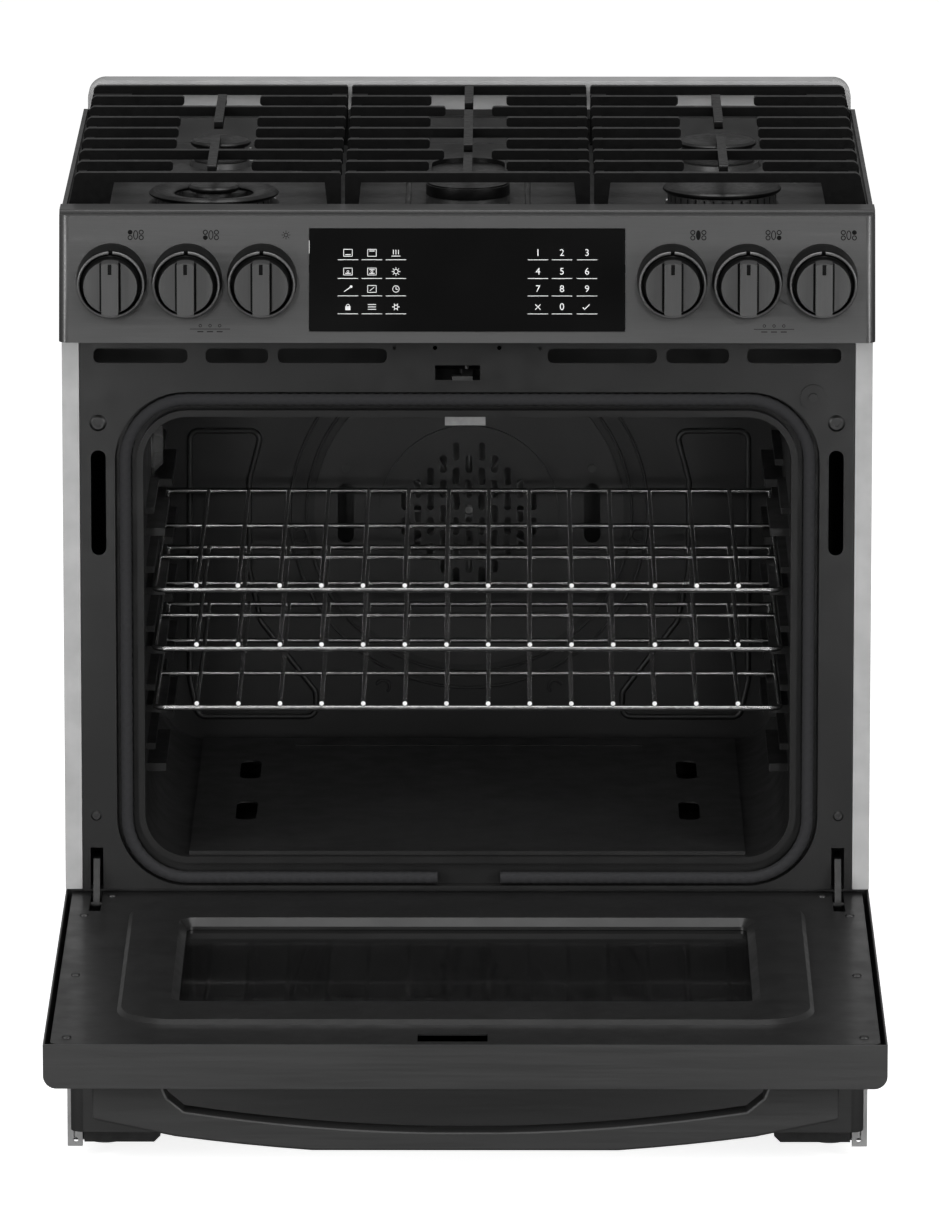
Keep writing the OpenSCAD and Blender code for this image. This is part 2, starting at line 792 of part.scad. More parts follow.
module broil_burner() {
    color("silver") {
        difference() {
            block([-150, 150], [90, 400], [701, 711]);
            block([-148, 148], [92, 398], [702.5, 715]);
        }
        for (x = [-140, 140], y = [100, 390]) rod_z(x, y, [702, cavity_top - 0.2], 4);
        rod_y(0, [399, cavity_d - 1], 706, 4.5);
        block([-21, 17], [36, 37.5], [700, cavity_top - 0.2]);
        block([-21, 17], [36, 92], [709.5, 711]);
    }
}

module oven_sensor() {
    color("silver") {
        rod_y(-200, [420, cavity_d - 0.2], 680, 2.6);
        block([-212, -188], [cavity_d - 1.7, cavity_d - 0.2], [672, 688]);
    }
}

module oven_lamp() {
    color("white") {
        rod_x([-cavity_w / 2 - 12, -cavity_w / 2 + 7], lamp[0], lamp[1], 14);
        rod_x([-cavity_w / 2 + 0.3, -cavity_w / 2 + 3], lamp[0], lamp[1], 30);
        translate([-cavity_w / 2 + 3, lamp[0], lamp[1]]) rotate([0, 90, 0])
            cylinder(h = 8, r1 = 26, r2 = 18);
    }
}

module insulation_wrap() {
    color("khaki") difference() {
        block([-338, 338], [17, 606], [222, 752]);
        block([-311, 311], [10, 570], [256, 724]);
        rod_y(0, [560, 610], fan_z, 46);
        rod_x([-330, -300], lamp[0], lamp[1], 34);
        block([-45, 45], [10, 45], [735, 760]);
        block([300, 345], [10, 45], [715, 760]);
    }
}

module door_gasket() {
    mid = (272 + 730.5) / 2;
    color("dimgray") difference() {
        translate([0, 5.6, mid]) bar_ring(640, 458.5, 58, 6);
        block([-28, 31], [-5, 20], [255, 290]);
    }
}

module hinge_arms() {
    color("gray") both_sides() crosswise(-hinge_x - 3, -hinge_x + 3) difference() {
        union() {
            translate([pivot[1], pivot[2]]) circle(7);
            polygon([[-20.2, 251], [-3, 292], [30, 292], [30, 272], [4, 269], [-7.5, 246.5]]);
        }
        translate([pivot[1], pivot[2]]) circle(3 + fit);
    }
}

// A screw head on the oven frame, with a six-sided socket
module screw_head(x, z, r) {
    translate([x, 0, z]) rotate([90, 0, 0]) difference() {
        cylinder(h = 2.2, r1 = r, r2 = r * 0.7);
        translate([0, 0, 1]) cylinder(h = 2, r = r * 0.4, $fn = 6);
    }
}

module chassis_screws() {
    color("dimgray") {
        both_sides() {
            screw_head(-345, 709, 8);
            screw_head(-349, 333, 5);
            rod_y(-121, [cavity_d - 5, cavity_d - 3.3], fan_z + 45, 4);
        }
        for (x = [-350, 350], z = [80:160:880])
            translate([x, body_d + 1.5, z]) rotate([-90, 0, 0]) cylinder(h = 2.2, r1 = 4.5, r2 = 3.2);
    }
}

module door_latch() {
    color("gray") difference() {
        union() {
            rod_z(0, 18, [754, 758], 8);
            block([-5, 5], [-22, 18], [754, 758]);
            block([-14, 5], [-24, -16], [754, 758]);
        }
        rod_z(0, 18, [750, 762], 3 + fit);
    }
}

module door_switch() {
    color("gray") {
        rod_y(323, [-4.3, 16], 734, 4);
        rod_y(323, [15.5, 22], 734, 7);
    }
}

// One rack: front bar bent into two side bars, two cross bars, a rear stop and fourteen long rods
module rack(z) {
    color("silver") {
        rod_x([-284.5, 284.5], 30.5, z, 2.6);
        bend([-284.5, 40.5, z], 180, 10, 2.6);
        bend([284.5, 40.5, z], 270, 10, 2.6);
        for (x = [-294.5, 294.5]) rod_y(x, [40.5, 490], z, 2.6);
        for (y = [184.5, 336]) rod_x([-294.5, 294.5], y, z + 0.2, 2.3);
        rod_x([-296.5, 296.5], 488, z + 4.6, 2.6);
        for (i = [0:13]) rod_y((i - 6.5) * 39.2, [28.4, 488], z + 4.5, 2.2);
    }
}

module rack_lower() {
    rack(rack_levels[0]);
}

module rack_middle() {
    rack(rack_levels[1]);
}

module rack_upper() {
    rack(rack_levels[2]);
}

// ---- door ----

// Turns the closed door about its hinge line to where it stands open
module opened() {
    translate(pivot) rotate([door_open, 0, 0]) translate(-pivot) children();
}

// Plan of the door shell, with its outer corners rounded
module door_plan(w, y0, y1, r) {
    translate([-w / 2, y0 + r]) square([w, y1 - y0 - r]);
    translate([-w / 2 + r, y0]) square([w - 2 * r, y1 - y0]);
    for (x = [-1, 1]) translate([x * (w / 2 - r), y0 + r]) circle(r);
}

module door_skin() {
    color(slate) opened() difference() {
        translate([0, 0, door_low]) linear_extrude(door_top - door_low) door_plan(door_w, door_face, -4, 12);
        translate([0, 0, door_low + sheet]) linear_extrude(door_top - door_low - 2 * sheet)
            door_plan(door_w - 3, door_face + sheet, 5, 10.5);
        upright(-60, -30) translate([0, 496]) rounded_rect(540, 270, 14);
    }
}

module door_outer_glass() {
    color("black") opened() upright(-43.3, -39.3) translate([0, 496]) rounded_rect(564, 294, 8);
}

// Stands a plate that is drawn flat against the door, its thickness towards the oven
module on_liner(y, z) {
    translate([0, y, z]) rotate([90, 0, 180]) children();
}

module door_liner() {
    rise = 4;
    plateau_mid = (275 + 714) / 2;
    window_mid = 496;
    color(porcelain) opened() difference() {
        union() {
            upright(-6.5, -5) translate([0, (230 + 781) / 2]) rounded_rect(744, 551, 8);
            on_liner(-5.2, plateau_mid) rotate([180, 0, 0]) mirror([0, 0, 1])
                beveled_plate(632, 439, 50, rise + 0.2, rise);
            upright(-11, -1) translate([0, window_mid]) rounded_rect(552, 318, 14);
        }
        difference() {
            on_liner(-7, plateau_mid) rotate([180, 0, 0]) mirror([0, 0, 1])
                beveled_plate(629, 436, 48.5, rise + 0.8, rise);
            upright(-12, 0) translate([0, window_mid]) rounded_rect(552, 318, 14);
        }
        upright(-15, 2) translate([0, window_mid]) rounded_rect(522, 288, 8);
        on_liner(-8, window_mid) rotate([180, 0, 0]) translate([0, 0, -7.2])
            beveled_plate(536, 302, 15, 7.2, 7);
        both_sides() block([-hinge_x - 5.5, -hinge_x + 5.5], [-10, 0], [231, 306]);
        block([-43, 20], [-10, 0], [746, 772]);
    }
}

module door_inner_glass() {
    color("black") opened() upright(-15.3, -11.3) translate([0, 496]) rounded_rect(548, 314, 8);
}

// Plan of the bowed handle: a bar between two arcs, with wedge-shaped ends that meet the door
module handle_plan() {
    difference() {
        intersection() {
            translate([0, 1781.6]) circle(1899.6, $fn = 240);
            polygon([[-336, door_face], [-336, -84], [-200, -113], [200, -113], [336, -84],
                [336, door_face]]);
        }
        intersection() {
            translate([0, 1549]) circle(1645, $fn = 240);
            polygon([[-278, -40], [-268, -64], [-230, -95.7], [230, -95.7], [268, -64], [278, -40]]);
        }
    }
}

module door_handle() {
    color(slate) opened() translate([0, 0, handle_z - 12]) linear_extrude(24) handle_plan();
}

module door_screws() {
    color("dimgray") opened() {
        both_sides() for (z = [322, 540, 758]) on_liner(-5, z) translate([-358, 0, 0])
            cylinder(h = 1.6, r1 = 4.5, r2 = 3.4);
        both_sides() translate([-334, -5, 250]) rotate([-90, 0, 0]) cylinder(h = 1.6, r1 = 4, r2 = 3);
        both_sides() rod_y(-306, [-43.4, -36], handle_z, 5);
    }
}

module hinge_channels() {
    color("gray") opened() both_sides() {
        difference() {
            block([-hinge_x - 8, -hinge_x + 8], [-38, -7], [234, 430]);
            block([-hinge_x - 6, -hinge_x + 6], [-36, 0], [225, 440]);
        }
        rod_x([-hinge_x - 8, -hinge_x + 8], pivot[1], pivot[2], 3);
        rod_x([-hinge_x - 7, -hinge_x + 7], -24, 400, 3);
    }
}

// ---- drawer ----

module drawer_front() {
    color(slate) difference() {
        translate([0, 0, 36]) linear_extrude(169) door_plan(748, -40, -14, 12);
        translate([0, 0, 36 + sheet]) linear_extrude(169 - 2 * sheet) door_plan(745, -38.5, 0, 10.5);
    }
}

// The drawer's body: floor, two sides with slides, rear wall and the plate behind its front
module drawer_tray() {
    seam = 0.05;
    color("dimgray") {
        block([-338, 338], [-15.8, 470], [52, 53.2]);
        both_sides() {
            block([-338, -336.8], [-15.8, 470], [53.2 + seam, 165]);
            block([-356, -338 - seam], [0, 470], [107.6, 122.4]);
        }
        block([-336.8 + seam, 336.8 - seam], [468.8, 470], [53.2 + seam, 165]);
        block([-370, 370], [-17.2, -15.9], [50, 190]);
    }
}

side_panel_left();
side_panel_right();
back_panel();
base_frame();
leveling_legs();
cooktop();
rear_trim();
control_panel();
display_glass();
control_board();
knob_bezels();
gas_manifold();
burner_valves();
gas_regulator();
burner_heads();
burner_caps();
igniters();
front_frame();
oven_liner();
oven_floor();
fan_cover();
fan_motor();
convection_fan();
bake_burner();
broil_burner();
oven_sensor();
oven_lamp();
insulation_wrap();
door_gasket();
hinge_arms();
chassis_screws();
power_inlet();
door_latch();
door_switch();
rack_upper();
rack_middle();
rack_lower();
grate_left();
grate_center();
grate_right();
stem(burner_knobs[0]);  // stem_left_outer
stem(burner_knobs[1]);  // stem_left_middle
stem(burner_knobs[2]);  // stem_right_inner
stem(burner_knobs[3]);  // stem_right_middle
stem(burner_knobs[4]);  // stem_right_outer
knob(burner_knobs[0]);  // knob_left_outer
knob(burner_knobs[1]);  // knob_left_middle
knob(light_x);  // oven_light_knob
knob(burner_knobs[2]);  // knob_right_inner
knob(burner_knobs[3]);  // knob_right_middle
knob(burner_knobs[4]);  // knob_right_outer
door_skin();
door_liner();
door_inner_glass();
door_outer_glass();
door_handle();
door_screws();
hinge_channels();
drawer_front();
drawer_tray();
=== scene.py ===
import json
import math

import bmesh
import bpy
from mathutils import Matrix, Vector


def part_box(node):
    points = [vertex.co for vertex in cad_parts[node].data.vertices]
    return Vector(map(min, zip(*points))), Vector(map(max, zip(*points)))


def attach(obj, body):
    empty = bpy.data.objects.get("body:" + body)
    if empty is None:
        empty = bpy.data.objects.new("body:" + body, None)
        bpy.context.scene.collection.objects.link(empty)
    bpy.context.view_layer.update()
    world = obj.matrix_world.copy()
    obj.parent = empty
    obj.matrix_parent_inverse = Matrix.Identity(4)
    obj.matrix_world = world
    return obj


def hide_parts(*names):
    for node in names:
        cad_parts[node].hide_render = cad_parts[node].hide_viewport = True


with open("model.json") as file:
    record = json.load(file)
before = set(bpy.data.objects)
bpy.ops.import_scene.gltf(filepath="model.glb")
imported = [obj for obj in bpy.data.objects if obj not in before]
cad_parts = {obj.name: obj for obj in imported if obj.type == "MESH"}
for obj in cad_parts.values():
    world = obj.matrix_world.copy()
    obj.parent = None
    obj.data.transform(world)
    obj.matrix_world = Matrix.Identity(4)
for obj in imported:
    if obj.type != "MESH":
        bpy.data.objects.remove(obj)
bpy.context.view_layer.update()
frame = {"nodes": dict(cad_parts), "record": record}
NODES = frame["nodes"]
RECORD = frame["record"]
MM = 0.001  # lengths below are in millimetres until they are multiplied by this


# ---- materials ----

def rgb(value):
    """A grey, or a colour, with its alpha."""
    if isinstance(value, (int, float)):
        value = (value, value, value)
    return (*value, 1.0)


class Finish:
    """A procedural material: one principled shader fed by noise in the object's own millimetres."""

    def __init__(self, name, rough=0.5, metal=0.0, coat=0.0, specular=0.5, coat_rough=0.05):
        self.material = bpy.data.materials.new(name)
        self.material.use_nodes = True
        self.tree = self.material.node_tree
        self.tree.nodes.clear()
        self.shader = self.add("ShaderNodeBsdfPrincipled")
        out = self.add("ShaderNodeOutputMaterial")
        self.join(self.shader.outputs["BSDF"], out.inputs["Surface"])
        inputs = self.shader.inputs
        inputs["Roughness"].default_value = rough
        inputs["Metallic"].default_value = metal
        inputs["Coat Weight"].default_value = coat
        inputs["Coat Roughness"].default_value = coat_rough
        inputs["Specular IOR Level"].default_value = specular
        self.place = self.add("ShaderNodeTexCoord").outputs["Object"]
        self.height = None

    def add(self, kind, **values):
        node = self.tree.nodes.new(kind)
        for key, value in values.items():
            setattr(node, key, value)
        return node

    def join(self, out, into):
        self.tree.links.new(out, into)

    def noise(self, size, detail=3.0, stretch=(1, 1, 1), rough=0.5):
        """Noise whose blobs are about size millimetres across, longer along the stretched axes."""
        scale = self.add("ShaderNodeMapping")
        scale.inputs["Scale"].default_value = [1.0 / s for s in stretch]
        self.join(self.place, scale.inputs["Vector"])
        node = self.add("ShaderNodeTexNoise")
        node.inputs["Scale"].default_value = 1.0 / (size * MM)
        node.inputs["Detail"].default_value = detail
        node.inputs["Roughness"].default_value = rough
        self.join(scale.outputs["Vector"], node.inputs["Vector"])
        return node.outputs["Fac"]

    def ramp(self, source, stops):
        node = self.add("ShaderNodeValToRGB")
        ramp = node.color_ramp
        while len(ramp.elements) < len(stops):
            ramp.elements.new(0.5)
        for element, (at, colour) in zip(ramp.elements, stops):
            element.position = at
            element.color = rgb(colour)
        self.join(source, node.inputs["Fac"])
        return node.outputs["Color"]

    def spread(self, source, low, high):
        """Stretches the middle of a noise over a range of numbers."""
        node = self.add("ShaderNodeMapRange")
        node.inputs["From Min"].default_value = 0.3
        node.inputs["From Max"].default_value = 0.7
        node.inputs["To Min"].default_value = low
        node.inputs["To Max"].default_value = high
        self.join(source, node.inputs["Value"])
        return node.outputs["Result"]

    def mix(self, factor, a, b):
        node = self.add("ShaderNodeMix", data_type="RGBA")
        for socket, value in ((node.inputs[0], factor), (node.inputs[6], a), (node.inputs[7], b)):
            if hasattr(value, "is_linked"):
                self.join(value, socket)
            elif socket.type == "RGBA":
                socket.default_value = rgb(value)
            else:
                socket.default_value = value
        return node.outputs[2]

    def colour(self, source):
        self.join(source, self.shader.inputs["Base Color"])

    def rough(self, source, low, high):
        self.join(self.spread(source, low, high), self.shader.inputs["Roughness"])

    def bump(self, source, depth):
        """Adds relief of a depth in millimetres on top of any that is there; comes last in a finish."""
        node = self.add("ShaderNodeBump")
        node.inputs["Strength"].default_value = 1.0
        node.inputs["Distance"].default_value = depth * MM
        self.join(source, node.inputs["Height"])
        if self.height is not None:
            self.join(self.height, node.inputs["Normal"])
        self.height = node.outputs["Normal"]
        self.join(self.height, self.shader.inputs["Normal"])
        return self


def brushed(name, tone, rough, metal, contrast=0.12, along=(40, 1, 1)):
    """Rolled sheet metal with a fine grain along one axis."""
    f = Finish(name, rough=rough, metal=metal)
    grain = f.noise(0.9, 4.0, along, 0.65)
    cloud = f.noise(160, 2.0)
    base = f.ramp(grain, [(0.3, tone * (1 - contrast)), (0.7, tone * (1 + contrast))])
    f.colour(f.mix(f.spread(cloud, 0.0, 0.25), base, tone * 0.8))
    f.rough(f.noise(3.0, 3.0, along), rough - 0.05, rough + 0.06)
    return f.bump(grain, 0.02)


def enamel(name, tone, rough=0.3, coat=0.25, specular=0.5):
    """Fired enamel: a slight orange peel and a cloudy tone."""
    f = Finish(name, rough=rough, coat=coat, coat_rough=0.12, specular=specular)
    f.colour(f.ramp(f.noise(60, 4.0), [(0.3, tone * 0.88), (0.7, tone * 1.12)]))
    f.rough(f.noise(25, 3.0), rough - 0.06, rough + 0.06)
    return f.bump(f.noise(2.2, 2.0), 0.03)


def mottled(f, tone):
    """The uneven tone of a casting."""
    return f.ramp(f.noise(14, 4.0), [(0.3, tone * 0.8), (0.7, tone * 1.25)])


def cast_skin(f, rough, grain, depth):
    """A fine pebbled skin with soft larger dimples."""
    f.rough(f.noise(6, 3.0), rough - 0.07, rough + 0.07)
    f.bump(f.noise(7, 3.0), depth * 1.5)
    return f.bump(f.noise(grain, 3.0, rough=0.7), depth)


def cast(name, tone, rough, grain=0.6, depth=0.12):
    """Sand-cast metal under a matte coat."""
    f = Finish(name, rough=rough)
    f.colour(mottled(f, tone))
    return cast_skin(f, rough, grain, depth)


def cast_with_painted_toplight(name, shaded_flank, top, rough, grain=0.6, depth=0.08):
    """Cast iron painted paler where it faces up, standing in for light from above, and glossier there."""
    f = Finish(name, rough=rough)
    split = f.add("ShaderNodeSeparateXYZ")
    f.join(f.add("ShaderNodeNewGeometry").outputs["Normal"], split.inputs["Vector"])
    # Painted light: the more a face points up, the more of the paler colour it gets
    toplight_mask = f.spread(split.outputs["Z"], 0.0, 1.0)
    toplight_colour = f.ramp(f.noise(22, 4.0), [(0.3, top * 0.8), (0.7, top * 1.2)])
    f.colour(f.mix(toplight_mask, mottled(f, shaded_flank), toplight_colour))
    f.join(f.spread(split.outputs["Z"], 0.12, 0.45), f.shader.inputs["Specular IOR Level"])
    return cast_skin(f, rough, grain, depth)


def moulded(name, tone, rough, depth=0.04):
    """Plastic, ceramic or paint, in a grey or a colour."""
    f = Finish(name, rough=rough)
    if isinstance(tone, float):
        f.colour(f.ramp(f.noise(30, 3.0), [(0.3, tone * 0.9), (0.7, tone * 1.1)]))
    else:
        darker = tuple(t * 0.7 for t in tone)
        f.colour(f.mix(f.spread(f.noise(20, 3.0), 0.0, 0.3), tone, darker))
    f.rough(f.noise(4, 2.0), rough - 0.05, rough + 0.05)
    return f.bump(f.noise(0.7, 2.0), depth)


def glassy(name, tone, rough=0.04, smudge=0.06, coat=0.6, specular=0.5):
    """Dark glass with faint smudges."""
    f = Finish(name, rough=rough, coat=coat, coat_rough=0.02, specular=specular)
    f.colour(f.ramp(f.noise(90, 3.0), [(0.3, tone * 0.85), (0.7, tone * 1.15)]))
    f.rough(f.noise(70, 5.0), rough, rough + smudge)
    return f.bump(f.noise(120, 2.0), 0.02)


def metal(name, tone, rough, grain=1.2, tint=(1, 1, 1)):
    """Bare or plated metal."""
    f = Finish(name, rough=rough, metal=1.0)
    light = tuple(tone * t * 1.1 for t in tint)
    dark = tuple(tone * t * 0.85 for t in tint)
    f.colour(f.ramp(f.noise(9, 4.0), [(0.3, dark), (0.7, light)]))
    f.rough(f.noise(5, 4.0), rough - 0.04, rough + 0.08)
    return f.bump(f.noise(grain, 3.0), 0.015)


def zinc(name, tone):
    """Galvanised sheet with its patchwork of crystals."""
    f = Finish(name, rough=0.45, metal=0.9)
    patch = f.add("ShaderNodeTexVoronoi")
    patch.inputs["Scale"].default_value = 1.0 / (9 * MM)
    f.join(f.place, patch.inputs["Vector"])
    grey = f.add("ShaderNodeRGBToBW")
    f.join(patch.outputs["Color"], grey.inputs["Color"])
    f.colour(f.ramp(grey.outputs["Val"], [(0.2, tone * 0.82), (0.8, tone * 1.1)]))
    f.rough(grey.outputs["Val"], 0.38, 0.55)
    return f.bump(f.noise(2.5, 3.0), 0.02)


def fibrous(name, tone, size=1.4, depth=0.5):
    """Glass wool, or the braid of a seal."""
    f = Finish(name, rough=0.95)
    fibre = f.noise(size, 5.0, (6, 6, 1), 0.7)
    f.colour(f.ramp(fibre, [(0.3, tuple(t * 0.6 for t in tone)), (0.7, tone)]))
    return f.bump(fibre, depth)


FINISHES = {
    "panel_light": moulded("panel_light", 0.40, 0.42, 0.03),
    "galvanised": zinc("galvanised", 0.42),
    "slate": brushed("slate", 0.078, 0.36, 0.6, 0.05),
    "enamel": enamel("enamel", 0.013, 0.34, 0.1, specular=0.35),
    # Painted shade: the oven liner's enamel is darker than the door's, for the light that does not reach
    # its walls
    "oven_enamel": enamel("oven_enamel", 0.009, 0.36, 0.1, specular=0.3),
    "cooktop_enamel": enamel("cooktop_enamel", 0.038, 0.36, 0.1, specular=0.4),
    # Painted light on the grates and burner caps: a paler colour on faces that point up
    "cast_iron": cast_with_painted_toplight("cast_iron", 0.002, 0.014, 0.46),
    "cap_enamel": cast_with_painted_toplight("cap_enamel", 0.004, 0.02, 0.36, 1.0, 0.05),
    "burner_alloy": cast("burner_alloy", 0.03, 0.5, 0.8, 0.06),
    "display_glass": glassy("display_glass", 0.002, 0.10, 0.05, coat=0.0, specular=0.14),
    "knob": brushed("knob", 0.085, 0.36, 0.55, 0.05, (1, 1, 30)),
    # Partly painted shade: near-black with little sheen for the shade on the knob collars' sides and on the
    # knobs' shoulders and grooves
    "bezel": enamel("bezel", 0.002, 0.36, 0.0, specular=0.12),
    # Partly painted highlight: the domed rims catch the lamps, and their metal is lighter than the
    # near-black collars so they read bright
    "rim": brushed("rim", 0.13, 0.34, 0.7, 0.05),
    "brass": metal("brass", 0.6, 0.3, 1.2, (1, 0.75, 0.35)),
    "steel": metal("steel", 0.35, 0.35),
    "dark_steel": metal("dark_steel", 0.07, 0.42),
    "chrome_wire": metal("chrome_wire", 0.62, 0.16, 2.0),
    "board": moulded("board", (0.01, 0.09, 0.03), 0.5),
    "ceramic": moulded("ceramic", 0.7, 0.4),
    "lamp_glass": glassy("lamp_glass", 0.03, 0.15, 0.1),
    "window_glass": glassy("window_glass", 0.003, 0.06, 0.05, coat=0.2),
    "insulation": fibrous("insulation", (0.04, 0.04, 0.04)),
    "gasket": fibrous("gasket", (0.022, 0.022, 0.024), 0.8, 0.2),
    "black_plastic": moulded("black_plastic", 0.012, 0.5),
    "fan_steel": metal("fan_steel", 0.16, 0.4),
    "drawer_steel": enamel("drawer_steel", 0.06, 0.4, 0.1),
    "legend": moulded("legend", 0.75, 0.45, 0.01),
    "ink": enamel("ink", 0.003, 0.5, 0.0, specular=0.08),
    # Painted highlight: a near-white matte finish for the glints on the rack wires' ends
    "wire_end": moulded("wire_end", 0.85, 0.3, 0.01),
}


def dress(obj, finish):
    obj.data.materials.clear()
    obj.data.materials.append(FINISHES[finish].material)


for row in RECORD["subparts"]:
    dress(NODES[row["node"]], row["material_slot"])
dress(NODES["oven_liner"], "oven_enamel")  # less light reaches a real oven's walls than its front


# ---- softened edges on the carried-over nodes ----

# Width of the rounding on the sharp edges of each node
BEVELS = {
    "grate_left": 1.3, "grate_center": 1.3, "grate_right": 1.3, "burner_caps": 0.8, "door_handle": 2.0,
    "control_panel": 0.9, "knob_bezels": 0.7, "cooktop": 0.9, "rear_trim": 0.8, "door_skin": 0.8,
    "drawer_front": 0.8, "front_frame": 0.4, "burner_heads": 0.3,
    "chassis_screws": 0.3, "door_screws": 0.3, "side_panel_left": 0.4, "side_panel_right": 0.4,
    "base_frame": 0.4,
}
KNOB_BEVEL = 1.2
for name in NODES:
    if name.startswith("knob_") and name != "knob_bezels" or name == "oven_light_knob":
        BEVELS[name] = KNOB_BEVEL


def soften(obj, width):
    """Welds the mesh and rounds its sharp edges by a width in millimetres."""
    weld = obj.modifiers.new("weld", "WELD")
    weld.merge_threshold = 0.01 * MM
    bevel = obj.modifiers.new("bevel", "BEVEL")
    bevel.width = width * MM
    bevel.segments = 2
    bevel.limit_method = "ANGLE"
    bevel.angle_limit = math.radians(32)
    bevel.use_clamp_overlap = True
    bevel.harden_normals = False


for name, width in BEVELS.items():
    soften(NODES[name], width)


# ---- pieces made here ----

def new_piece(name, verts, faces, finish, body, smooth=False):
    """A mesh that moves with a body; its material slot is one of the record's."""
    mesh = bpy.data.meshes.new(name)
    mesh.from_pydata([tuple(v) for v in verts], [], [tuple(f) for f in faces])
    mesh.validate()
    outward = bmesh.new()
    outward.from_mesh(mesh)
    bmesh.ops.recalc_face_normals(outward, faces=outward.faces)
    outward.to_mesh(mesh)
    outward.free()
    mesh.materials.append(FINISHES[finish].material)
    for face in mesh.polygons:
        face.use_smooth = smooth
    obj = bpy.data.objects.new(name, mesh)
    bpy.context.scene.collection.objects.link(obj)
    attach(obj, body)
    return obj


class Plane:
    """A flat place on the object: u to the right, v up its face and n out of it, in millimetres."""

    def __init__(self, origin, u, v):
        self.origin = Vector(origin)
        self.u = Vector(u)
        self.v = Vector(v)
        self.n = self.u.cross(self.v)

    def at(self, u, v, n):
        return self.origin + (self.u * u + self.v * v + self.n * n) * MM


class Marks:
    """Thin raised shapes on one plane, gathered into one mesh."""

    def __init__(self, plane, low, high):
        self.plane = plane
        self.levels = (low, high)
        self.verts = []
        self.faces = []

    def solid(self, outline):
        """A plate between the two levels."""
        first, n = len(self.verts), len(outline)
        for level in self.levels:
            self.verts += [self.plane.at(u, v, level) for u, v in outline]
        self.faces.append([first + i for i in reversed(range(n))])
        self.faces.append([first + n + i for i in range(n)])
        for i in range(n):
            j = (i + 1) % n
            self.faces.append([first + i, first + j, first + n + j, first + n + i])

    def stroke(self, a, b, width, ends=5):
        """A bar between two points, with round ends."""
        a, b = Vector(a), Vector(b)
        turn = math.atan2(b.y - a.y, b.x - a.x)
        outline = []
        for centre, start in ((b, turn - math.pi / 2), (a, turn + math.pi / 2)):
            for i in range(ends):
                angle = start + math.pi * i / (ends - 1)
                outline.append((centre.x + width / 2 * math.cos(angle),
                                centre.y + width / 2 * math.sin(angle)))
        self.solid(outline)

    def disc(self, u, v, r, tall=1.0, n=20):
        self.solid([(u + r * math.cos(math.tau * i / n), v + tall * r * math.sin(math.tau * i / n))
                    for i in range(n)])

    def ring(self, u, v, r, width, tall=1.0, n=24):
        """A closed band round a circle or, with tall over 1, an upright oval."""
        first = len(self.verts)
        for i in range(n):
            c, s = math.cos(math.tau * i / n), math.sin(math.tau * i / n)
            for reach in (r - width / 2, r + width / 2):
                rise = reach + r * (tall - 1)
                for level in self.levels:
                    self.verts.append(self.plane.at(u + reach * c, v + rise * s, level))
        for i in range(n):
            a, b = first + 4 * i, first + 4 * ((i + 1) % n)
            for p, q in ((0, 1), (1, 3), (3, 2), (2, 0)):
                self.faces.append([a + p, a + q, b + q, b + p])

    def band(self, profile, start=0.0, end=math.tau, n=72):
        """A closed profile of (radius, height out) turned about the plane's origin between two angles."""
        whole = end - start > math.tau - 0.001
        first, size = len(self.verts), len(profile)
        rows = n if whole else n + 1
        for i in range(rows):
            angle = start + (end - start) * i / n
            for r, out in profile:
                self.verts.append(self.plane.at(r * math.cos(angle), r * math.sin(angle), out))
        for i in range(n):
            a, b = first + i * size, first + (i + 1) % rows * size
            for k in range(size):
                m = (k + 1) % size
                self.faces.append([a + k, a + m, b + m, b + k])
        if not whole:
            self.faces.append([first + k for k in range(size)])
            self.faces.append([first + n * size + k for k in reversed(range(size))])

    def digit(self, text, u, v, size):
        """A figure from the plain built-in face, set upright on the plane."""
        curve = bpy.data.curves.new("digit", "FONT")
        curve.body = text
        curve.size = size
        curve.extrude = (self.levels[1] - self.levels[0]) / 2
        curve.align_x = curve.align_y = "CENTER"
        holder = bpy.data.objects.new("digit", curve)
        bpy.context.scene.collection.objects.link(holder)
        bpy.context.view_layer.update()
        depsgraph = bpy.context.evaluated_depsgraph_get()
        mesh = bpy.data.meshes.new_from_object(holder.evaluated_get(depsgraph))
        first, middle = len(self.verts), sum(self.levels) / 2
        self.verts += [self.plane.at(u + p.co.x, v + p.co.y, middle + p.co.z) for p in mesh.vertices]
        self.faces += [[first + i for i in face.vertices] for face in mesh.polygons]
        bpy.data.objects.remove(holder)
        bpy.data.curves.remove(curve)
        bpy.data.meshes.remove(mesh)

    def piece(self, name, finish, body):
        return new_piece(name, self.verts, self.faces, finish, body)


def joint_place(name):
    return next(Vector(j["pos_m"]) for j in RECORD["behaviour"]["joints"] if j["name"] == name)


# The control panel leans back, and its plane passes through the knobs' axes
LEAN = math.radians(13.2)
LIGHT_AXIS = joint_place("light_knob_turn")
PANEL = Plane((0, LIGHT_AXIS.y, LIGHT_AXIS.z), (1, 0, 0), (0, math.sin(LEAN), math.cos(LEAN)))
KNOBS = ("left_outer", "left_middle", "right_inner", "right_middle", "right_outer")

# The keypad: how far the glass stands out, the heights of the key rows and the columns of keys
GLASS_FACE = 0.8
KEY_ROWS = (25.2, 7.8, -8.4, -25.1)
LEFT_KEYS = (-110.7, -88.4, -66.1)
RIGHT_KEYS = (65.8, 88.1, 111.4)
UNDERLINE = 6.4
UNDERLINE_HALF = 9.3
DIGIT_SIZE = 9.0
PRINT = 0.02, 0.14  # bottom and top of printed marks above their surface

# Signs on the panel: their height up it, the middles of the captions under two knobs, and a plan of
# the burners in the order of KNOBS
SIGN_V = 41.8
CAPTIONS = (-238.8, 285.1)
BURNER_PLAN = ((-5.15, 2.5), (-5.15, -2.5), (0, 0), (5.15, -2.5), (5.15, 2.5))
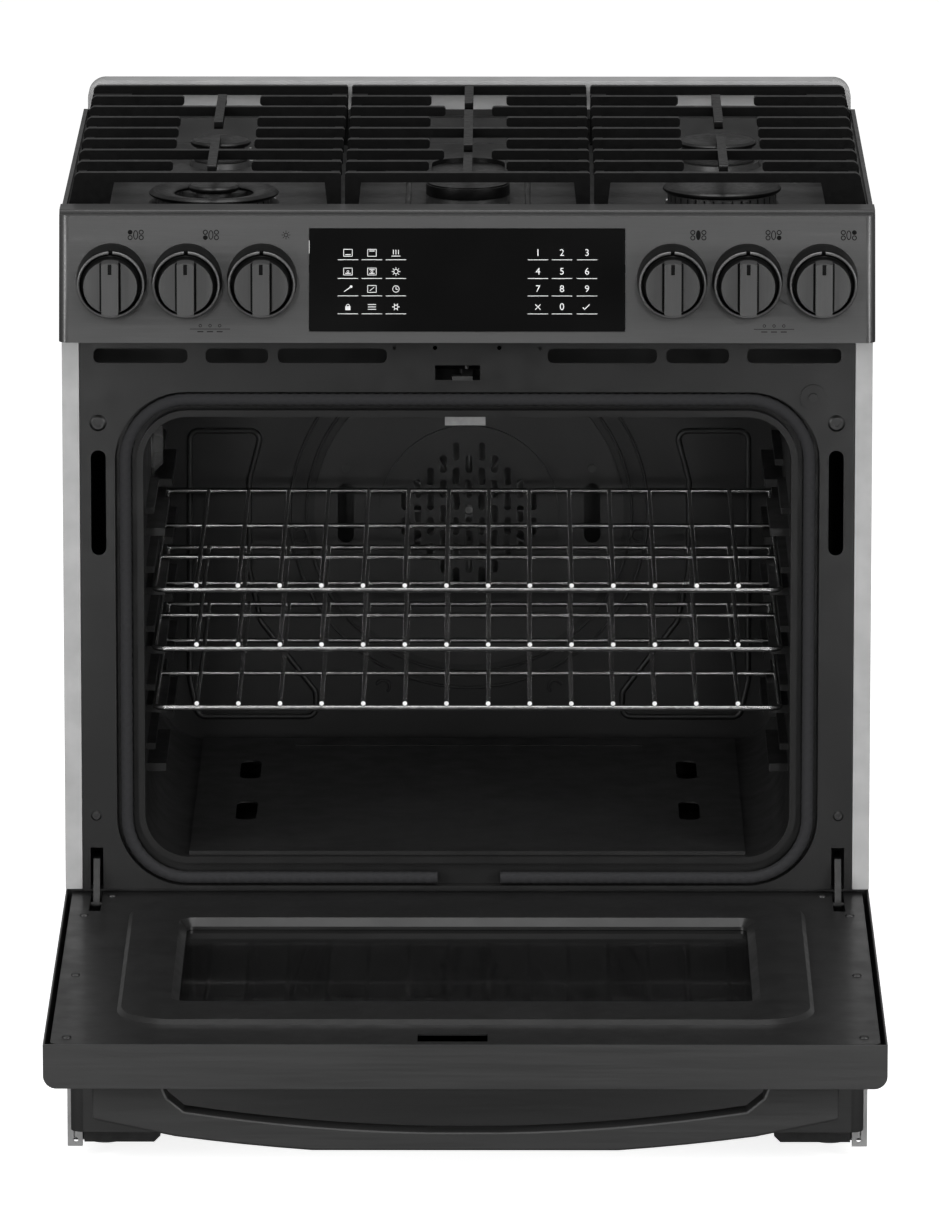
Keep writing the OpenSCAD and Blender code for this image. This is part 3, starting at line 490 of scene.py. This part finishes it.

# Knobs: outlines as (radius, height out of the panel), and levels of what lies on their faces; the shoulder
# ring and the strips beside the grip are painted shade
COLLAR_RIM = ((28.75, 27.5), (28.95, 28.1), (29.5, 28.45), (30.3, 28.5),
              (31.0, 28.3), (31.5, 27.7), (31.5, 27.0), (28.75, 27.0))
NOTCH_HALF = 3.6  # degrees to each side of the gap at the top of a collar
SHADED_SHOULDER = ((26.86, 28.2), (24.9, 39.6), (24.5, 39.6), (26.4, 28.2))
FACE_LEVELS = 40.02, 40.16
GRIP_LEVELS = 52.72, 52.95

# The oven's rear wall: its front face, and half of the loop of its pressed ribs as (x, z)
REAR_WALL_Y = 520 * MM
RIB_LOOP = ((203, 602), (274, 602), (275, 352), (267, 315), (151, 315),
            (151, 340), (205, 411), (216, 462), (216, 552))

SIDES = ((-1, "left"), (1, "right"))


def box_icon(marks, u, v, top=False, base=False, ring=False):
    """A small oven with its heat drawn as bars and its fan as a ring."""
    w, h = 4.0, 3.2
    corners = [(u - w, v - h), (u + w, v - h), (u + w, v + h), (u - w, v + h)]
    for i in range(4):
        marks.stroke(corners[i], corners[(i + 1) % 4], 0.6)
    if top:
        marks.stroke((u - 2.2, v + 1.7), (u + 2.2, v + 1.7), 0.8)
    if base:
        marks.stroke((u - 2.2, v - 1.7), (u + 2.2, v - 1.7), 0.8)
    if ring:
        marks.ring(u, v, 0.9, 0.5)


def rays(marks, u, v, inner, outer, count, width):
    """Short strokes all round a point."""
    for i in range(count):
        angle = math.tau * i / count
        c, s = math.cos(angle), math.sin(angle)
        marks.stroke((u + inner * c, v + inner * s), (u + outer * c, v + outer * s), width)


def key_icons(marks):
    """Twelve plain signs on the left keys: heat modes, then probe, clean, clock, lock, list and gear."""
    a, b, c = LEFT_KEYS
    first, second, third, last = KEY_ROWS
    box_icon(marks, a, first, base=True)
    box_icon(marks, b, first, top=True)
    for du in (-2.4, 0, 2.4):
        marks.stroke((c + du, first - 1.2), (c + du, first + 2.6), 0.7)
    marks.stroke((c - 4, first - 3), (c + 4, first - 3), 0.7)
    box_icon(marks, a, second, base=True, ring=True)
    box_icon(marks, b, second, top=True, base=True, ring=True)
    marks.ring(c, second, 2.0, 0.6)
    rays(marks, c, second, 2.8, 3.8, 8, 0.6)
    marks.stroke((a - 3.4, third - 2.4), (a + 2.2, third + 1.6), 0.8)
    marks.disc(a + 3, third + 2.2, 1.2)
    box_icon(marks, b, third)
    marks.stroke((b - 1.8, third - 1.4), (b + 1.8, third + 1.4), 0.6)
    marks.ring(c, third, 3.0, 0.6)
    marks.stroke((c, third), (c, third + 2.0), 0.6)
    marks.stroke((c, third), (c + 1.5, third - 0.6), 0.6)
    marks.solid([(a - 2.4, last - 3), (a + 2.4, last - 3), (a + 2.4, last + 0.6), (a - 2.4, last + 0.6)])
    marks.ring(a, last + 0.9, 1.5, 0.6)
    for dv in (-2.2, 0, 2.2):
        marks.stroke((b - 3.6, last + dv), (b + 3.6, last + dv), 0.7)
    marks.ring(c, last, 1.7, 0.7)
    rays(marks, c, last, 2.4, 3.2, 6, 0.8)


def make_keypad():
    """Signs and figures over underlines on both halves of the display, with a cross and a tick last."""
    marks = Marks(PANEL, GLASS_FACE + PRINT[0], GLASS_FACE + PRINT[1])
    key_icons(marks)
    for row, v in enumerate(KEY_ROWS[:3]):
        for column, u in enumerate(RIGHT_KEYS):
            marks.digit(str(3 * row + column + 1), u, v, DIGIT_SIZE)
    cross, zero, tick = RIGHT_KEYS
    v = KEY_ROWS[3]
    arm, line = 2.2, 0.8
    marks.digit("0", zero, v, DIGIT_SIZE)
    marks.stroke((cross - arm, v + arm), (cross + arm, v - arm), line)
    marks.stroke((cross - arm, v - arm), (cross + arm, v + arm), line)
    marks.stroke((tick - arm, v - arm), (tick + arm, v + arm), line)
    marks.stroke((tick - arm, v - arm), (tick - 3.6, v - 0.6), line)
    for u in LEFT_KEYS + RIGHT_KEYS:
        for v in KEY_ROWS:
            marks.stroke((u - UNDERLINE_HALF, v - UNDERLINE), (u + UNDERLINE_HALF, v - UNDERLINE), 0.6)
    marks.piece("keypad_marks", "legend", "chassis")


def make_burner_signs():
    """A plan of the burners by each knob, its own one filled in; groups of dots; a lamp by the last."""
    marks = Marks(PANEL, *PRINT)
    for own, knob in enumerate(KNOBS):
        side = joint_place(knob + "_turn").x / MM
        u = side + (24.3 if side > 0 else 22.3)
        for i, (du, dv) in enumerate(BURNER_PLAN):
            tall = 2.1 if i == 2 else 1.0
            if i == own:
                marks.disc(u + du, SIGN_V + dv, 2.2, tall)
            else:
                marks.ring(u + du, SIGN_V + dv, 1.9, 0.85, tall)
    for u in CAPTIONS:
        marks.stroke((u - 18.5, -45.7), (u + 18.5, -45.7), 0.5)
        for du in (-9, 0, 9):
            marks.ring(u + du, -42.6, 1.2, 0.5)
            marks.stroke((u + du - 2.5, -48.2), (u + du + 2.5, -48.2), 0.8)
    lamp_u = LIGHT_AXIS.x / MM + 22.2
    marks.ring(lamp_u, SIGN_V, 1.7, 0.6)
    rays(marks, lamp_u, SIGN_V, 2.7, 3.9, 8, 0.5)
    marks.piece("panel_marks", "ink", "chassis")


def make_knob_details():
    """Rims on the six collars, partly a painted highlight in a lighter metal than the near-black collars;
    on each knob a dark index, and painted shade as a near-black shoulder ring and two strips along the
    grooves beside the grip.
    """
    turns = {"knob_" + word: joint_place(word + "_turn") for word in KNOBS}
    turns["light_knob"] = LIGHT_AXIS
    rim_highlights = Marks(None, 0, 0)
    for body, place in turns.items():
        plane = Plane(place, (1, 0, 0), (0, 0, 1))
        rim_highlights.plane = plane
        # The rim's lighter metal is partly a painted highlight on the collar
        rim_highlights.band(COLLAR_RIM, math.radians(90 + NOTCH_HALF), math.radians(450 - NOTCH_HALF))
        shade_and_index = Marks(plane, *FACE_LEVELS)
        # Painted shade: near-black strips along the grooves beside the grip
        for side in (-1, 1):
            shade_and_index.solid([(side * 7.9, -23.2), (side * 9.9, -22.4), (side * 9.9, 22.4), (side * 7.9, 23.2)])
        shade_and_index.levels = GRIP_LEVELS
        shade_and_index.solid([(-1.72, 13.9), (1.72, 13.9), (1.72, 23.6), (-1.72, 23.6)])
        # Painted shade: a near-black ring on the knob's shoulder
        shade_and_index.band(SHADED_SHOULDER)
        shade_and_index.piece("inlay_" + body, "bezel", body)
    rim_highlights.piece("collar_rim_highlights", "rim", "chassis")


def make_wire_glints():
    """Near-white matte discs at the front ends of the long wires, in front of each rack's crossbar: painted
    highlights for the glints on the wires' ends.
    """
    count, pitch, below_top = 14, 39.2, 2.7
    for level in ("upper", "middle", "lower"):
        low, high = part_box("rack_" + level)
        ends = Marks(None, 0, 0)
        for i in range(count):
            place = ((i - (count - 1) / 2) * pitch * MM, low[1], high[2] - below_top * MM)
            ends.plane = Plane(place, (1, 0, 0), (0, 0, 1))
            # Painted highlight: a small near-white disc at each wire's end
            ends.band([(0.01, 0.0), (2.15, -0.3), (2.15, -0.5), (0.01, -0.5)], n=16)
        ends.piece("wire_glints_" + level, "wire_end", "rack_" + level)


def rounded_path(corners, radius, closed=True, steps=8):
    """Points along a polyline, with its corners turned into arcs."""
    corners = [Vector(c) for c in corners]
    path = []
    count = len(corners)
    for i, corner in enumerate(corners):
        if not closed and i in (0, count - 1):
            path.append(corner)
            continue
        back = (corners[i - 1] - corner).normalized()
        on = (corners[(i + 1) % count] - corner).normalized()
        half = back.angle(on) / 2
        cut = radius / math.tan(half)
        centre = corner + (back + on).normalized() * (radius / math.sin(half))
        start, end = corner + back * cut - centre, corner + on * cut - centre
        for k in range(steps + 1):
            path.append(centre + start.slerp(end, k / steps, start).normalized() * radius)
    return path


def tube(name, path, radius, finish, body, slot, closed=True, sides=10, relief=None):
    """Sweeps a round section along a path; relief adds to the radius by distance and angle."""
    count = len(path)
    verts, faces = [], []
    side = None
    run = 0.0
    for i, point in enumerate(path):
        if closed:
            ahead = (path[(i + 1) % count] - path[i - 1]).normalized()
        else:
            ahead = (path[min(i + 1, count - 1)] - path[max(i - 1, 0)]).normalized()
        if side is None:
            side = ahead.orthogonal().normalized()
        side = (side - ahead * side.dot(ahead)).normalized()
        other = ahead.cross(side)
        run += (point - path[i - 1]).length if i else 0.0
        for k in range(sides):
            angle = math.tau * k / sides
            r = radius + (relief(run, angle) if relief else 0.0)
            verts.append(point + (side * math.cos(angle) + other * math.sin(angle)) * r)
    rings = count if closed else count - 1
    for i in range(rings):
        a, b = i * sides, (i + 1) % count * sides
        for k in range(sides):
            m = (k + 1) % sides
            faces.append((a + k, a + m, b + m, b + k))
    if not closed:
        faces.append(tuple(reversed(range(sides))))
        faces.append(tuple((count - 1) * sides + k for k in range(sides)))
    return new_piece(name, verts, faces, finish, body, smooth=True)


def resample(path, step):
    """Even points along an open path."""
    out = [path[0]]
    left = step
    for a, b in zip(path, path[1:]):
        length = (b - a).length
        at = left
        while at < length:
            out.append(a.lerp(b, at / length))
            at += step
        left = at - length
    out.append(path[-1])
    return out


def make_gasket():
    """The braided seal round the oven's mouth, open at the middle of its bottom run."""
    low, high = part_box("door_gasket")
    bar = (high[1] - low[1]) / 2
    y = (high[1] + low[1]) / 2
    x0, x1, z0, z1 = low[0] + bar, high[0] - bar, low[2] + bar, high[2] - bar
    radius, step, twist, sunk = 58 * MM, 2.2 * MM, 9 * MM, 0.22
    ends = (31 * MM, -28 * MM)
    corners = [(ends[0], y, z0), (x1, y, z0), (x1, y, z1), (x0, y, z1), (x0, y, z0), (ends[1], y, z0)]
    path = resample(rounded_path(corners, radius, closed=False, steps=14), step)

    def braid(run, angle):
        """Two sets of three strands wound opposite ways; they only sink, so the size stays."""
        wave = math.tau * run / twist
        return (sunk * math.cos(3 * angle + wave) + sunk * math.cos(3 * angle - wave) - 2 * sunk) * MM

    seal = tube("gasket_braid", path, bar, "gasket", "chassis", "gasket",
                closed=False, sides=18, relief=braid)
    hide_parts("door_gasket")


def bend(x, z, radius, angles, side=1):
    """Points round part of an upright circle on the rear wall, mirrored where the side is -1."""
    return [Vector((side * (x + radius * math.cos(a)) * MM, REAR_WALL_Y, (z + radius * math.sin(a)) * MM))
            for a in angles]


def make_back_ribs():
    """On the oven's rear wall, a bell-shaped rib and two hooks each side and two rings round the fan."""
    rib = "enamel", "chassis", "enamel"
    for side, word in SIDES:
        loop = rounded_path([(side * x * MM, REAR_WALL_Y, z * MM) for x, z in RIB_LOOP], 9 * MM)
        tube("rear_rib_" + word, loop, 3.0 * MM, *rib)
        for level, x, z, start, end in (("upper", 166, 497.5, 50, 310), ("lower", 84.8, 345, 20, 230)):
            hook = bend(x, z, 6.5, [math.radians(a) for a in range(start, end + 1, 10)], side)
            tube("rear_hook_" + word + "_" + level, hook, 1.7 * MM, *rib, closed=False)
    low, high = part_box("fan_cover")
    fan_z = (low[2] + high[2]) / 2 / MM
    steps = 96
    for word, radius in (("outer", 176), ("inner", 160)):
        arc = bend(0, fan_z, radius, [math.tau * i / steps for i in range(steps)])
        tube("fan_ring_" + word, arc, 1.6 * MM, *rib)


def make_well_beads():
    """Two low beads pressed into the floor of the well, along both sides of the middle burner."""
    floor_z, sunk, out, radius = 875 * MM, 1.2 * MM, 57 * MM, 3.2 * MM
    for side, word in SIDES:
        path = [Vector((side * out, y * MM, floor_z - sunk)) for y in range(62, 590, 24)]
        tube("well_bead_" + word, path, radius, "cooktop_enamel", "chassis", "cooktop_enamel",
             closed=False, sides=24)


make_keypad()
make_burner_signs()
make_well_beads()
make_knob_details()
make_wire_glints()
make_gasket()
make_back_ribs()


# ---- stage, light and camera ----

def aim(obj, target):
    direction = Vector(target) - obj.location
    obj.rotation_mode = "QUATERNION"
    obj.rotation_quaternion = direction.to_track_quat("-Z", "Y")


def softbox(name, place, target, size, power):
    light = bpy.data.lights.new(name, "AREA")
    light.shape = "RECTANGLE"
    light.size, light.size_y = size
    light.energy = power
    obj = bpy.data.objects.new(name, light)
    bpy.context.scene.collection.objects.link(obj)
    obj.location = place
    aim(obj, target)
    return obj


def make_floor():
    """A pale floor that lights nothing, so that the object stays as dark underneath as on a plinth."""
    span = 14.0
    mesh = bpy.data.meshes.new("floor")
    corners = [(-span, -span, 0), (span, -span, 0), (span, span, 0), (-span, span, 0)]
    mesh.from_pydata(corners, [], [(0, 1, 2, 3)])
    floor = bpy.data.objects.new("floor", mesh)
    bpy.context.scene.collection.objects.link(floor)
    f = Finish("floor_paint", rough=0.8, specular=0.0)
    f.colour(f.ramp(f.noise(400, 2.0), [(0.3, 0.80), (0.7, 0.84)]))
    f.shader.inputs["Emission Color"].default_value = (1, 1, 1, 1)
    f.shader.inputs["Emission Strength"].default_value = 0.85
    mesh.materials.append(f.material)
    floor.visible_diffuse = False
    floor.visible_glossy = False


def make_camera():
    """Looks along +Y from high in front, with a long lens."""
    camera = bpy.data.cameras.new("camera")
    camera.lens = 335.25
    camera.sensor_width = 36
    camera.clip_start, camera.clip_end = 0.5, 60
    obj = bpy.data.objects.new("camera", camera)
    bpy.context.scene.collection.objects.link(obj)
    obj.location = (0.03476, -10.3834, 2.6981)
    down, turn = math.radians(11.7776), math.radians(-0.1775)
    ahead = Vector((math.sin(turn) * math.cos(down), math.cos(turn) * math.cos(down), -math.sin(down)))
    aim(obj, obj.location + ahead)
    bpy.context.scene.camera = obj


def make_world():
    """Light from above the horizon, brightest a little above it, and almost none from below."""
    world = bpy.data.worlds.new("studio")
    world.use_nodes = True
    bpy.context.scene.world = world
    nodes, links = world.node_tree.nodes, world.node_tree.links
    place = nodes.new("ShaderNodeTexCoord")
    split = nodes.new("ShaderNodeSeparateXYZ")
    level = nodes.new("ShaderNodeMapRange")
    level.inputs["From Min"].default_value = -1.0
    ramp = nodes.new("ShaderNodeValToRGB")
    stops = ((0.44, 0.06), (0.52, 0.45), (0.66, 0.55), (0.85, 0.35))
    while len(ramp.color_ramp.elements) < len(stops):
        ramp.color_ramp.elements.new(0.5)
    for element, (at, value) in zip(ramp.color_ramp.elements, stops):
        element.position = at
        element.color = rgb(value)
    links.new(place.outputs["Generated"], split.inputs["Vector"])
    links.new(split.outputs["Z"], level.inputs["Value"])
    links.new(level.outputs["Result"], ramp.inputs["Fac"])
    links.new(ramp.outputs["Color"], nodes["Background"].inputs["Color"])
    nodes["Background"].inputs["Strength"].default_value = 0.46


def make_light():
    """A large bank each side and one overhead, narrow strips nearer the front, and a little in the oven."""
    middle = (0, 0, 0.6)
    for side, word, power in ((-1, "left", 115), (1, "right", 110)):
        softbox(word + "_bank", (side * 3.2, -2.8, 1.7), middle, (1.6, 2.4), power)
    strips = (((0.55, -3.0, 1.7), (0.25, 0.8), 4), ((0.62, -2.2, 0.3), (0.2, 0.55), 3))
    for side, word in SIDES:
        for (x, y, z), size, power in strips:
            strip = softbox(word + "_strip", (side * x, y, z), (side * 0.36, 0, 0.6), size, power)
            strip.visible_camera = False
    softbox("overhead", (0, -0.4, 3.4), (0, 0.1, 0.9), (2.6, 1.6), 48)
    oven = softbox("oven_fill", (0, 0.05, 0.69), (0, 0.5, 0.52), (0.5, 0.06), 1.2)
    oven.visible_camera = False
    oven.visible_glossy = False
    bpy.context.scene.view_settings.view_transform = "Standard"


make_camera()
make_world()
make_light()
make_floor()
